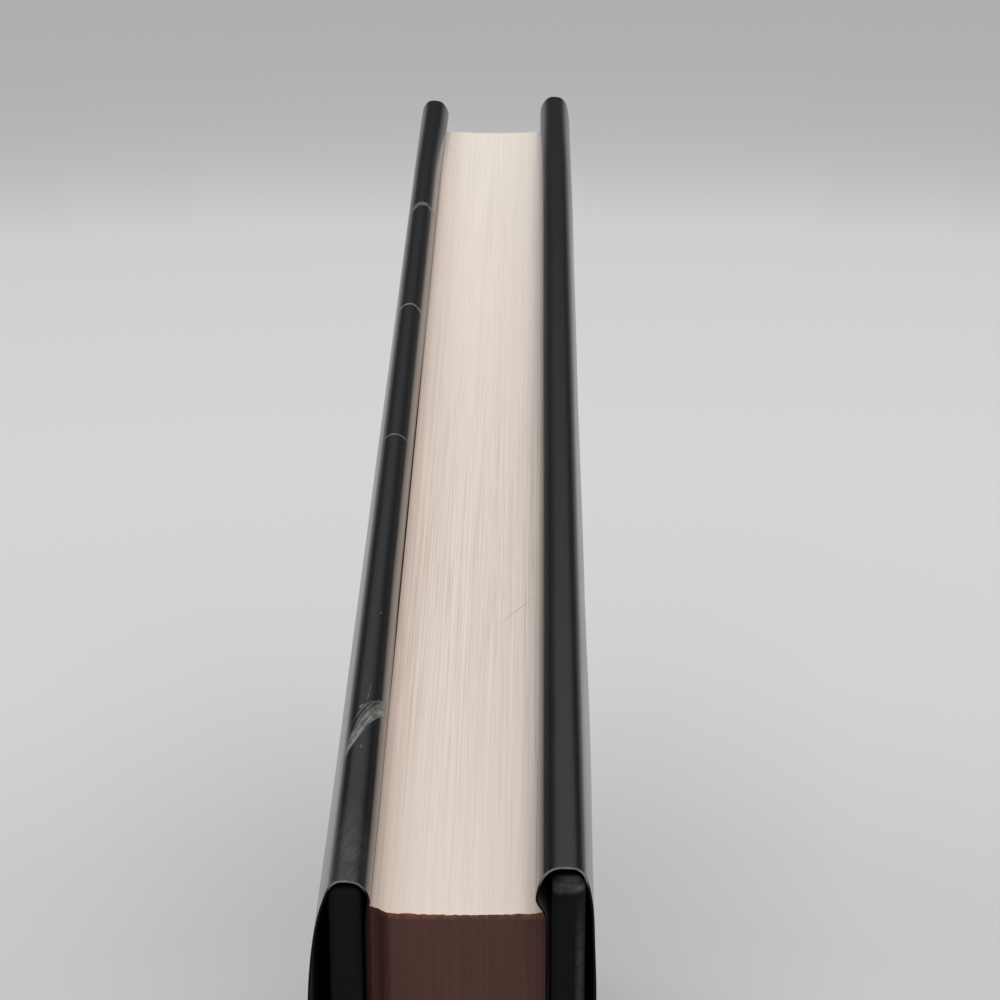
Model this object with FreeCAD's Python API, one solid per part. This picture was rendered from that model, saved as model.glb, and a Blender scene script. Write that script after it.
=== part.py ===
import FreeCAD, Part
import math
import os
from FreeCAD import Vector

# A thin hardback book in a dust jacket, standing on its flat spine with the fore-edge up.
# X runs through the thickness, with the front cover at +X. Y runs along the spine, with the
# head of the pages at -Y. Z runs from the spine up to the fore-edge. All sizes are millimetres.
# The front half is drawn at +X, and the back half is the same drawing mirrored.

# Pages, trimmed to 6 by 9 inches and glued at a flat back
page_height = 229.0
page_width = 152.0
block_thickness = 15.0
fore_edge_hollow = 0.25

# Sheets and boards
endpaper_thickness = 0.2
jacket_thickness = 0.2
cloth_thickness = 0.35
board_thickness = 2.2
inlay_thickness = 1.2
mull_thickness = 0.3
lining_thickness = 0.2

# Room between the loose pieces
flap_slack = 0.1
hollow_gap = 0.3
mull_room = 0.2
jacket_spine_slack = 0.05
spine_turn_in_inset = 0.8

# Squares, by which the covers stand out past the pages
end_square = 3.3
front_square = 4.9
back_square = 4.2

# Case: the covers start above the joint, and the cloth is turned in over their edges
joint_height = 8.55
joint_bend_height = 4.9
turn_in = 15.0
board_edge_radius = 0.7

# Dust jacket
jacket_overhang = 0.2
flap_width = 90.0
front_fold_room = 0.9
back_fold_room = 0.7
front_fold_lean = 0.7
back_fold_lean = 0.0
fold_clearance = 0.5
fold_radius = 1.3
jacket_corner_radius = 0.45
fold_flare = 25.0
flare_share = 0.7
front_bulge_head = 1.4
front_bulge_tail = 0.7
back_bulge_head = 2.2
back_bulge_tail = 0.8
bulge_depth = 14.0
bulge_length = 85.0

# Bands at the two ends of the spine
band_radius = 0.9
band_tab_length = 9.0
band_inset = 0.2

# Strips on the back of the pages
mull_end_gap = 0.5
lining_inset = 0.2
lining_end_inset = 1.0

# Layers from the middle of the pages outwards, along X
endpaper_inner = block_thickness / 2
endpaper_outer = endpaper_inner + endpaper_thickness
flap_inner = endpaper_outer + flap_slack
flap_outer = flap_inner + jacket_thickness
cover_inner = flap_outer + endpaper_thickness
board_inner = cover_inner + cloth_thickness
board_outer = board_inner + board_thickness
cover_outer = board_outer + cloth_thickness
jacket_outer = cover_outer + jacket_thickness

# Layers from the resting face up to the pages, along Z
cloth_base = jacket_thickness
inlay_base = cloth_base + cloth_thickness
inlay_top = inlay_base + inlay_thickness
spine_turn_in_top = inlay_top + cloth_thickness
lining_base = spine_turn_in_top + hollow_gap
mull_base = lining_base + lining_thickness
block_base = mull_base + mull_thickness
block_top = block_base + page_width

# Half lengths along Y, measured from the middle of the spine
page_end = page_height / 2
cover_end = page_end + end_square
board_end = cover_end - cloth_thickness
jacket_end = cover_end + jacket_overhang

# Half widths of the spine pieces along X
spine_cloth_outer = jacket_outer - jacket_corner_radius - jacket_spine_slack
inlay_half_width = spine_cloth_outer - cloth_thickness

# The back of the jacket stands out further than the front, so the pages lie off the middle
pages_offset = (back_bulge_head - front_bulge_head) / 2


def point(x, z, y=0.0):
    return Vector(x, y, z)


def slab(x_low, x_high, y_half, z_low, z_high):
    """A flat block that is centred along the spine."""
    return Part.makeBox(x_high - x_low, 2 * y_half, z_high - z_low, point(x_low, z_low, -y_half))


def along_spine(edges, y_half):
    """A solid of constant section, drawn in the XZ plane and drawn out along the spine."""
    section = Part.Face(Part.Wire(edges))
    section.translate(Vector(0, -y_half, 0))
    return section.extrude(Vector(0, 2 * y_half, 0))


def polygon(*corners):
    return Part.makePolygon([point(x, z) for x, z in corners] + [point(*corners[0])]).Edges


def line(start, end):
    return Part.LineSegment(start, end).toShape()


def arc(start, middle, end):
    return Part.Arc(start, middle, end).toShape()


def bezier(*poles):
    curve = Part.BezierCurve()
    curve.setPoles(list(poles))
    return curve.toShape()


def bend(centre_x, centre_z, radius, toward_x, toward_z, flare=0.0, y=0.0):
    """The three points of a bend, from its X side to its Z side, short of a quarter by the flare."""
    points = []
    for angle in (flare, (flare + 90.0) / 2, 90.0):
        turn = math.radians(angle)
        x = centre_x + toward_x * radius * math.cos(turn)
        points.append(point(x, centre_z + toward_z * radius * math.sin(turn), y))
    return points


def text_block():
    """The pages as one solid, with a fore-edge that is slightly hollow."""
    half = block_thickness / 2
    low_left = point(-half, block_base)
    low_right = point(half, block_base)
    top_right = point(half, block_top)
    top_left = point(-half, block_top)
    hollow = point(0, block_top - fore_edge_hollow)
    edges = [
        line(low_left, low_right),
        line(low_right, top_right),
        arc(top_right, hollow, top_left),
        line(top_left, low_left),
    ]
    return along_spine(edges, page_end)


def end_band(toward):
    """A corded band against one end of the pages, with the tab that is glued to their back."""
    bead_y = page_end + band_radius
    half = block_thickness / 2 - band_inset
    start = point(-half, mull_base + band_radius, toward * bead_y)
    bead = Part.makeCylinder(band_radius, 2 * half, start, Vector(1, 0, 0))
    tab = Part.makeBox(
        2 * half,
        band_radius + band_tab_length,
        mull_thickness,
        point(-half, mull_base, -bead_y),
    )
    if toward > 0:
        tab = tab.mirror(Vector(0, 0, 0), Vector(0, 1, 0))
    return bead.fuse(tab).removeSplitter()


def spine_mull():
    half = block_thickness / 2 - band_inset
    mull_end = page_end - band_tab_length - mull_end_gap
    return slab(-half, half, mull_end, mull_base, block_base)


def spine_lining():
    half = block_thickness / 2 - lining_inset
    return slab(-half, half, page_end - lining_end_inset, lining_base, mull_base)


def spine_inlay():
    return slab(-inlay_half_width, inlay_half_width, board_end, inlay_base, inlay_top)


def spine_cloth():
    """The case cloth over the spine, up its two sides and turned in at head and foot."""
    half = inlay_half_width - spine_turn_in_inset
    wrap = slab(-spine_cloth_outer, spine_cloth_outer, cover_end, cloth_base, inlay_top)
    turned = slab(-half, half, cover_end, inlay_top, spine_turn_in_top)
    between = slab(-half, half, cover_end - turn_in, inlay_top, spine_turn_in_top)
    return wrap.cut(spine_inlay()).fuse(turned.cut(between)).removeSplitter()


def free_endpaper():
    return slab(endpaper_inner, endpaper_outer, page_end, block_base, block_top)


def endpaper_joint():
    """The fold of the endpaper, from the foot of its free leaf up to the pastedown."""
    edges = polygon(
        (endpaper_outer, block_base),
        (endpaper_outer + endpaper_thickness, block_base),
        (cover_inner, joint_height),
        (flap_outer, joint_height),
    )
    return along_spine(edges, page_end)


def board(square):
    top = block_top + square - cloth_thickness
    return slab(board_inner, board_outer, board_end, joint_height + cloth_thickness, top)


def cover_cloth(square):
    """The case cloth round one board, turned in over its head, foot and fore-edge."""
    top = block_top + square
    wrap = slab(cover_inner, cover_outer, cover_end, joint_height, top)
    rounded = []
    for edge in wrap.Edges:
        along_face = edge.BoundBox.XLength < cloth_thickness
        if along_face and edge.BoundBox.ZMax > joint_height + cloth_thickness:
            rounded.append(edge)
    wrap = wrap.makeFillet(board_edge_radius, rounded)
    window = slab(cover_inner, board_inner, cover_end - turn_in, joint_height, top - turn_in)
    return wrap.cut(board(square)).cut(window)


def pastedown(square):
    """The pasted half of the endpaper, which steps down inside the turned-in cloth."""
    cloth_edge = cover_end - turn_in
    cloth_top = block_top + square - turn_in
    sheet = slab(flap_outer, board_inner, page_end, joint_height, block_top)
    under_cloth = slab(cover_inner, board_inner, page_end, joint_height, block_top)
    under_cloth = under_cloth.cut(
        slab(cover_inner, board_inner, cloth_edge, joint_height, cloth_top)
    )
    hollow = slab(
        flap_outer,
        board_inner - endpaper_thickness,
        cloth_edge - endpaper_thickness,
        joint_height,
        cloth_top - endpaper_thickness,
    )
    return sheet.cut(under_cloth).cut(hollow)


def cloth_joint():
    """The strip of case cloth that sinks into the groove between the spine and a board."""
    inner = cover_inner + mull_room
    outer = inner + cloth_thickness
    reach = (joint_bend_height - inlay_top) / 2
    edges = [line(point(inner, joint_height), point(outer, joint_height))]
    for x, foot in ((inner, inlay_half_width), (outer, spine_cloth_outer)):
        top = point(x, joint_height)
        start = point(x, joint_bend_height)
        end = point(foot, inlay_top)
        down = point(x, joint_bend_height - reach)
        outward = point(foot - reach / 2, inlay_top + reach / 2)
        edges += [line(top, start), bezier(start, down, outward, end)]
    edges.append(line(point(inlay_half_width, inlay_top), point(spine_cloth_outer, inlay_top)))
    return along_spine(Part.__sortEdges__(edges), cover_end)


def jacket_spine():
    """The jacket across the spine, with its two bent corners. The book stands on it."""
    radius = jacket_corner_radius
    inner_radius = radius - jacket_thickness
    edges = []
    for side in (1, -1):
        centre_x = side * (jacket_outer - radius)
        outer_arc = bend(centre_x, radius, radius, side, -1)
        inner_arc = bend(centre_x, radius, inner_radius, side, -1)
        edges += [arc(*outer_arc), arc(*inner_arc), line(outer_arc[0], inner_arc[0])]
    half = jacket_outer - radius
    edges.append(line(point(-half, 0), point(half, 0)))
    edges.append(line(point(-half, jacket_thickness), point(half, jacket_thickness)))
    return along_spine(Part.__sortEdges__(edges), jacket_end)


def jacket_joint():
    return slab(cover_outer, jacket_outer, jacket_end, jacket_corner_radius, joint_height)


def jacket_section(square, fold_room, fold_lean, bulge, y):
    """The closed outline of the jacket round one cover, at one place along the spine.

    The sheet runs from the joint up the board, stands out below the fold, folds over the
    fore-edge of the board, leans in over the pages and comes down inside the cover as the flap.
    """
    fold_top = block_top + square + fold_room + jacket_thickness
    shoulder = fold_top - fold_radius
    panel_centre = jacket_outer - fold_radius
    flap_centre = flap_inner - fold_lean + fold_radius
    flap_start = block_top + fold_clearance
    flap_end = fold_top - flap_width
    foot_z = fold_top - bulge_length
    fullest_z = fold_top - bulge_depth
    flare = math.radians(fold_flare)
    reach = (shoulder - fullest_z) / 3
    long_reach = (fullest_z - foot_z) / 3
    lean_reach = (shoulder - flap_start) / 2

    def face_of_sheet(setback):
        """One face of the sheet, from the joint to the end of the flap."""
        radius = fold_radius - setback
        over_board = bend(panel_centre, shoulder, radius, 1, 1, fold_flare, y)
        over_flap = bend(flap_centre, shoulder, radius, -1, 1, 0.0, y)
        panel_x = jacket_outer - setback
        fullest_x = panel_x + bulge
        start = over_board[0]
        sideways = flare_share * (fullest_x - start.x)
        leaving = point(start.x + sideways, start.z - sideways / math.tan(flare), y)
        return [
            line(point(panel_x, joint_height, y), point(panel_x, foot_z, y)),
            bezier(
                point(panel_x, foot_z, y),
                point(panel_x, foot_z + long_reach, y),
                point(fullest_x, fullest_z - long_reach, y),
                point(fullest_x, fullest_z, y),
            ),
            bezier(
                point(fullest_x, fullest_z, y),
                point(fullest_x, fullest_z + reach, y),
                leaving,
                start,
            ),
            arc(*over_board),
            line(over_board[2], over_flap[2]),
            arc(*over_flap),
            bezier(
                over_flap[0],
                point(flap_inner - fold_lean + setback, shoulder - lean_reach, y),
                point(flap_inner + setback, flap_start + lean_reach, y),
                point(flap_inner + setback, flap_start, y),
            ),
            line(
                point(flap_inner + setback, flap_start, y),
                point(flap_inner + setback, flap_end, y),
            ),
        ]

    edges = face_of_sheet(0.0)
    edges.append(line(point(flap_inner, flap_end, y), point(flap_outer, flap_end, y)))
    edges += face_of_sheet(jacket_thickness)[::-1]
    edges.append(line(point(cover_outer, joint_height, y), point(jacket_outer, joint_height, y)))
    return Part.Wire(edges)


def jacket_cover(square, fold_room, fold_lean, bulge_head, bulge_tail):
    """The jacket round one cover. It stands out more at the head than at the foot."""
    head = jacket_section(square, fold_room, fold_lean, bulge_head, -jacket_end)
    tail = jacket_section(square, fold_room, fold_lean, bulge_tail, jacket_end)
    return Part.makeLoft([head, tail], True, True)


def half_case(side, square, fold_room, fold_lean, bulge_head, bulge_tail):
    """The pieces of one cover and its joint, drawn at +X and mirrored for the back."""
    pieces = {
        side + "_free_endpaper": free_endpaper(),
        side + "_endpaper_joint": endpaper_joint(),
        side + "_pastedown": pastedown(square),
        side + "_board": board(square),
        side + "_cover_cloth": cover_cloth(square),
        side + "_cloth_joint": cloth_joint(),
        "jacket_" + side: jacket_cover(square, fold_room, fold_lean, bulge_head, bulge_tail),
        "jacket_" + side + "_joint": jacket_joint(),
    }
    if side == "front":
        return pieces
    return {name: shape.mirror(Vector(0, 0, 0), Vector(1, 0, 0)) for name, shape in pieces.items()}


def book():
    pieces = {
        "text_block": text_block(),
        "headband": end_band(-1),
        "tailband": end_band(1),
        "spine_mull": spine_mull(),
        "spine_lining": spine_lining(),
        "spine_inlay": spine_inlay(),
        "spine_cloth": spine_cloth(),
        "jacket_spine": jacket_spine(),
    }
    pieces |= half_case(
        "front", front_square, front_fold_room, front_fold_lean, front_bulge_head, front_bulge_tail
    )
    pieces |= half_case(
        "back", back_square, back_fold_room, back_fold_lean, back_bulge_head, back_bulge_tail
    )
    return pieces


os.makedirs("parts", exist_ok=True)
for node, shape in book().items():
    shape.translate(Vector(pages_offset, 0, 0))
    shape.exportStep(os.path.join("parts", node + ".step"))
    box = shape.BoundBox
    print(
        node, shape.isValid(), len(shape.Solids), round(shape.Volume, 2),
        "x", round(box.XMin, 3), round(box.XMax, 3),
        "y", round(box.YMin, 3), round(box.YMax, 3),
        "z", round(box.ZMin, 3), round(box.ZMax, 3),
    )
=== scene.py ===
import bpy
import math
import random
from mathutils import Matrix, Vector


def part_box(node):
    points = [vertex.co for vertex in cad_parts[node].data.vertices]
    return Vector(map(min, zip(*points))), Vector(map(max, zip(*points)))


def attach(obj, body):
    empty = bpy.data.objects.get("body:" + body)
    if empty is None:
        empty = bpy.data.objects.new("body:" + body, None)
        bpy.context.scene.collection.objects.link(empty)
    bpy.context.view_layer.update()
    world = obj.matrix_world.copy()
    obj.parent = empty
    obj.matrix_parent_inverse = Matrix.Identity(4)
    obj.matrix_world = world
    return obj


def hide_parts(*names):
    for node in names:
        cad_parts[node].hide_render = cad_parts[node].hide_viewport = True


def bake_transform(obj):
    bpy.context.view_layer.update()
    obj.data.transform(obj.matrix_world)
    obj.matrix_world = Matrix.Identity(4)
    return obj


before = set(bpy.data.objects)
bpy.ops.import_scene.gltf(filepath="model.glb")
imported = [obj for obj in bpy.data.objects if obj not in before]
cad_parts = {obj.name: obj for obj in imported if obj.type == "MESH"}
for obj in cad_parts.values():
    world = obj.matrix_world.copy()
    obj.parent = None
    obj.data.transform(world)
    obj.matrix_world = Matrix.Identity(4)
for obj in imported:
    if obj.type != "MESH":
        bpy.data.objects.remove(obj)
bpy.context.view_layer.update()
mm = 0.001
tiny = 0.001 * mm  # places nearer than this are the same
random.seed(11)

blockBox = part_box("text_block")
pagesX = (blockBox[0].x + blockBox[1].x) / 2  # the middle of the pages, between the two covers


# small tools for working in edit mode

def clearSelection():
    if bpy.context.mode != "OBJECT":
        bpy.ops.object.mode_set(mode="OBJECT")
    bpy.ops.object.select_all(action="DESELECT")


def nameNew(name):
    piece = bpy.context.active_object
    piece.name = name
    piece.data.name = name
    return piece


def selectParts(piece, kind, test):  # kind is VERT, EDGE or FACE, and test takes one of them
    bpy.ops.object.mode_set(mode="EDIT")
    bpy.ops.mesh.select_mode(type=kind)
    bpy.ops.mesh.select_all(action="DESELECT")
    bpy.ops.object.mode_set(mode="OBJECT")
    parts = {"VERT": piece.data.vertices, "EDGE": piece.data.edges, "FACE": piece.data.polygons}[kind]
    for part in parts:
        part.select = bool(test(part))
    bpy.ops.object.mode_set(mode="EDIT")


def edgeEnds(piece, edge):
    return [piece.data.vertices[i].co for i in edge.vertices]


def runsAlong(piece, axis):
    nearlyAll = 0.999

    def test(edge):
        a, b = edgeEnds(piece, edge)
        return abs(b[axis] - a[axis]) > nearlyAll * (b - a).length
    return test


def reshape(piece, rule):  # moves each point of a mesh by a rule of its place
    bpy.ops.object.mode_set(mode="OBJECT")
    for vertex in piece.data.vertices:
        vertex.co = rule(vertex.co.copy())
    piece.data.update()


def applyModifier(piece, kind, **settings):
    modifier = piece.modifiers.new(kind.title(), kind)
    for key, value in settings.items():
        setattr(modifier, key, value)
    bpy.context.view_layer.objects.active = piece
    bpy.ops.object.modifier_apply(modifier=modifier.name)


def finishShape(piece, smoothDegrees=40):
    clearSelection()
    piece.select_set(True)
    bpy.context.view_layer.objects.active = piece
    bpy.ops.object.transform_apply(location=True, rotation=True, scale=True)
    bpy.ops.object.shade_smooth_by_angle(angle=math.radians(smoothDegrees))


# outlines, as points after the first one

def bezierPath(a, b, c, d, steps):
    path = []
    for i in range(1, steps + 1):
        t = i / steps
        u = 1 - t
        path.append(tuple(u**3 * p + 3 * u * u * t * q + 3 * u * t * t * r + t**3 * s
                          for p, q, r, s in zip(a, b, c, d)))
    return path


def linePath(a, b, steps):
    return [tuple(p + (q - p) * i / steps for p, q in zip(a, b)) for i in range(1, steps + 1)]


def arcPath(centre, radius, startDegrees, endDegrees, steps):
    path = []
    for i in range(1, steps + 1):
        turn = math.radians(startDegrees + (endDegrees - startDegrees) * i / steps)
        path.append((centre[0] + radius * math.cos(turn), centre[1] + radius * math.sin(turn)))
    return path


def ease(value, low, high):  # 0 below low, 1 above high, smooth between
    t = min(1.0, max(0.0, (value - low) / (high - low)))
    return t * t * (3 - 2 * t)


# materials

wavePeriod = 0.314  # a wave texture of scale 1 repeats at this distance


def linear(hexColour):
    parts = [int(hexColour[i:i + 2], 16) / 255 for i in (1, 3, 5)]
    return tuple(p / 12.92 if p <= 0.04045 else ((p + 0.055) / 1.055) ** 2.4 for p in parts) + (1.0,)


def grain(x, y, z):  # a pattern's scale, from the real size of its grains in millimetres
    return tuple(1 / (size * mm) for size in (x, y, z))


def addNode(tree, kind, inputs, stops=(), **settings):
    # an input is a number, a colour, a socket, or a node that gives its first output; stops are a ramp's
    node = tree.nodes.new("ShaderNode" + kind)
    for key, value in settings.items():
        setattr(node, key, value)
    for key, value in inputs.items() if isinstance(inputs, dict) else enumerate(inputs):
        if isinstance(value, bpy.types.Node):
            value = next(socket for socket in value.outputs if socket.enabled)
        if isinstance(value, bpy.types.NodeSocket):
            tree.links.new(value, node.inputs[key])
        else:
            node.inputs[key].default_value = value
    for extra in stops[2:]:
        node.color_ramp.elements.new(1.0)
    for number, (position, colour) in enumerate(stops):
        node.color_ramp.elements[number].position = position
        node.color_ramp.elements[number].color = colour
    return node


def newMaterial(name):
    material = bpy.data.materials.new(name)
    material.use_nodes = True
    material.node_tree.nodes.clear()
    tree = material.node_tree
    place = addNode(tree, "TexCoord", {}).outputs["Object"]
    return material, tree, place


pageLook = {
    # what rules the page edges: width and length in mm, detail, roughness. A leaf is 0.1 mm, and its
    # line is drawn a little coarser, so that it shows
    "leaves": (0.14, 60, 3.0, 0.75),
    "sections": (1.3, 240, 1.0, 0.5),
    "gaps": (0.13, 18, 2.0, 0.6),
    "cream": "#EEE5DA",
    "creamDark": "#D9CEC3",
    # the gap tone is painted shade in the gaps between leaves; the nick is drawn in it too
    "creamGapShade": "#B3A497",
    "creamMean": "#E4DBD0",
    "creamSpread": (0.36, 0.58),       # noise that gives the dark tone and the pale one
    "clearest": -44 * mm,              # the lines show best at this place along the book, as in the photo
    "fadeReach": (15 * mm, 60 * mm),   # they fade between these distances from it
    "faded": 0.6,
    "crease": (5.1, -54.3, 0.16, 4.2, 0.57, 0.4),  # a faint nick over the leaves in painted shade, given as the marks below
    "shadeByCover": "#F3E8E5",              # multiplied in: painted shade, the leaves nearest the back cover are drawn darker
    "shadeByCoverWidth": 3.4 * mm,
    "shadeByCoverShare": 0.75,
    "headShade": "#F0ECEB",              # multiplied in: painted shade, the head end of the fore-edge is drawn a little dimmer
    "headShadeReach": (-40 * mm, 110 * mm),  # full up to the first place along the book, none from the second
    "stain": "#56362F",
    "stainDark": "#482C26",
    # painted shade in the gaps between the stained leaves
    "stainGapShade": "#3A211D",
    "stainSpread": (0.3, 0.65),
    "stainFringe": "#7A4C3A",
    "fringeReach": (0.9 * mm, 0.225 * mm),  # it starts at the first depth below the top, full at the second
    "dabSize": (0.6, 1, 1.2),
    "stainBleed": (-0.12 * mm, 0.48 * mm),  # least, and spread, of the stain's reach round the top edge
    "bleedSize": (0.7, 3, 3),
}


def leafLines(tree, place, gap, dark, pale, spread):  # fine broken lines, and short gaps between leaves drawn dark as painted shade
    rulings = []
    for key in ("leaves", "sections", "gaps"):
        wide, long, detail, rough = pageLook[key]
        scaled = addNode(tree, "Mapping", {"Vector": place, "Scale": grain(wide, long, long)})
        rulings.append(addNode(tree, "TexNoise", {"Vector": scaled, "Scale": 1.0, "Detail": detail,
                                                  "Roughness": rough}))
    leaves, sections, gaps = rulings
    low, high = spread
    lines = addNode(tree, "ValToRGB", {"Fac": leaves}, stops=[(low, linear(dark)), (high, linear(pale))])
    shade = addNode(tree, "MapRange", {"Value": sections, "From Min": 0.35, "From Max": 0.65, "To Max": 0.25})
    shaded = addNode(tree, "Mix", {0: shade, 6: lines, 7: linear(dark)}, data_type="RGBA")
    opened = addNode(tree, "MapRange", {"Value": gaps, "From Min": 0.54, "From Max": 0.74, "To Max": 0.4})
    lined = addNode(tree, "Mix", {0: opened, 6: shaded, 7: linear(gap)}, data_type="RGBA")
    return leaves, lined


def trimmedPageEdges():  # guillotined book paper: dull, cream, ruled by its own leaves
    look = pageLook
    material, tree, place = newMaterial("trimmedPageEdges")
    axes = addNode(tree, "SeparateXYZ", {"Vector": place}).outputs
    leaves, shaded = leafLines(tree, place, look["creamGapShade"], look["creamDark"], look["cream"],
                               look["creamSpread"])
    low = blockBox[0]
    offset = addNode(tree, "Math", [axes["Y"], look["clearest"]], operation="SUBTRACT")
    away = addNode(tree, "Math", [offset], operation="ABSOLUTE")
    near, far = look["fadeReach"]
    fade = addNode(tree, "MapRange", {"Value": away, "From Min": near, "From Max": far,
                                      "To Max": look["faded"]})
    lined = addNode(tree, "Mix", {0: fade, 6: shaded, 7: linear(look["creamMean"])}, data_type="RGBA")
    crease = wornSpot(tree, axes["X"], axes["Y"], look["crease"])
    nicked = addNode(tree, "Mix", {0: crease, 6: lined, 7: linear(look["creamGapShade"])}, data_type="RGBA")
    # painted shade: the pages are drawn darker beside the back cover, and dimmer towards the head end
    shadeByCover = addNode(tree, "MapRange", {"Value": axes["X"], "From Min": low.x,
                                         "From Max": low.x + look["shadeByCoverWidth"],
                                         "To Min": look["shadeByCoverShare"], "To Max": 0.0})
    shadedByCover = addNode(tree, "Mix", {0: shadeByCover, 6: nicked, 7: linear(look["shadeByCover"])}, data_type="RGBA",
                      blend_type="MULTIPLY")
    full, none = look["headShadeReach"]
    dim = addNode(tree, "MapRange", {"Value": axes["Y"], "From Min": full, "From Max": none,
                                     "To Min": 1.0, "To Max": 0.0})
    cream = addNode(tree, "Mix", {0: dim, 6: shadedByCover, 7: linear(look["headShade"])}, data_type="RGBA",
                    blend_type="MULTIPLY")
    scallopPlace = addNode(tree, "Mapping", {"Vector": place, "Scale": grain(*look["bleedSize"])})
    scallops = addNode(tree, "TexNoise", {"Vector": scallopPlace, "Scale": 1.0, "Detail": 3.0})
    least, bleed = look["stainBleed"]
    reach = addNode(tree, "Math", [scallops, bleed, low.y + least], operation="MULTIPLY_ADD")
    bled = addNode(tree, "Math", [axes["Y"], reach], operation="LESS_THAN")
    colour = addNode(tree, "Mix", {0: bled, 6: cream, 7: linear(look["stainFringe"])}, data_type="RGBA")
    bump = addNode(tree, "Bump", {"Height": leaves, "Distance": 0.03 * mm, "Strength": 0.5})
    shader = addNode(tree, "BsdfPrincipled", {"Base Color": colour, "Roughness": 0.85,
                                              "Specular IOR Level": 0.25, "Normal": bump})
    addNode(tree, "OutputMaterial", {"Surface": shader})
    return material


def stainedPageHeads():  # the head was brushed with brown stain: even, dull, thinner along the top edge
    look = pageLook
    material, tree, place = newMaterial("stainedPageHeads")
    axes = addNode(tree, "SeparateXYZ", {"Vector": place}).outputs
    leaves, shaded = leafLines(tree, place, look["stainGapShade"], look["stainDark"], look["stain"],
                               look["stainSpread"])
    top = blockBox[1].z
    dabPlace = addNode(tree, "Mapping", {"Vector": place, "Scale": grain(*look["dabSize"])})
    dabs = addNode(tree, "TexNoise", {"Vector": dabPlace, "Scale": 1.0, "Detail": 3.0})
    start, full = look["fringeReach"]
    edge = addNode(tree, "MapRange", {"Value": axes["Z"], "From Min": top - start, "From Max": top - full})
    patchy = addNode(tree, "MapRange", {"Value": dabs, "From Min": 0.35, "From Max": 0.6})
    fringe = addNode(tree, "Math", [edge, patchy], operation="MULTIPLY")
    colour = addNode(tree, "Mix", {0: fringe, 6: shaded, 7: linear(look["stainFringe"])}, data_type="RGBA")
    bump = addNode(tree, "Bump", {"Height": leaves, "Distance": 0.02 * mm, "Strength": 0.4})
    shader = addNode(tree, "BsdfPrincipled", {"Base Color": colour, "Roughness": 0.75,
                                              "Specular IOR Level": 0.3, "Normal": bump})
    addNode(tree, "OutputMaterial", {"Surface": shader})
    return material


endpaperLook = {
    "dark": "#DDD2C4",
    "pale": "#E8DFD2",
    "pastedownShade": "#2E2825",    # painted shade: the top and the head end of a pastedown, deep under the jacket flap, are drawn dark
    "shadeByCover": "#CFB9AC",  # painted shade: the top edge of a free leaf, beside the cover, is drawn darker
    "edgeDepth": 0.15 * mm,
    "stainReach": 1.0 * mm,
    "fibreSize": (0.8, 0.8, 1.6),
}


def endpaperStock(name, edgeTone, headTone):  # uncoated cream paper, a little fibrous, with darker edges: the head in the tone given, stain for a free leaf and painted shade for a pastedown, and the top edge in painted shade
    look = endpaperLook
    material, tree, place = newMaterial(name)
    axes = addNode(tree, "SeparateXYZ", {"Vector": place}).outputs
    fibrePlace = addNode(tree, "Mapping", {"Vector": place, "Scale": grain(*look["fibreSize"])})
    fibres = addNode(tree, "TexNoise", {"Vector": fibrePlace, "Scale": 1.0, "Detail": 4.0, "Roughness": 0.7})
    tone = addNode(tree, "ValToRGB", {"Fac": fibres},
                   stops=[(0.3, linear(look["dark"])), (0.7, linear(look["pale"]))])
    headEnd = blockBox[0].y + look["stainReach"]
    isStained = addNode(tree, "Math", [axes["Y"], headEnd], operation="LESS_THAN")
    top = blockBox[1].z - look["edgeDepth"]
    isEdge = addNode(tree, "Math", [axes["Z"], top], operation="GREATER_THAN")
    edged = addNode(tree, "Mix", {0: isEdge, 6: tone, 7: linear(edgeTone)}, data_type="RGBA")
    colour = addNode(tree, "Mix", {0: isStained, 6: edged, 7: linear(headTone)}, data_type="RGBA")
    bump = addNode(tree, "Bump", {"Height": fibres, "Distance": 0.02 * mm, "Strength": 0.5})
    shader = addNode(tree, "BsdfPrincipled", {"Base Color": colour, "Roughness": 0.9,
                                              "Specular IOR Level": 0.2, "Normal": bump})
    addNode(tree, "OutputMaterial", {"Surface": shader})
    return material


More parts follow.
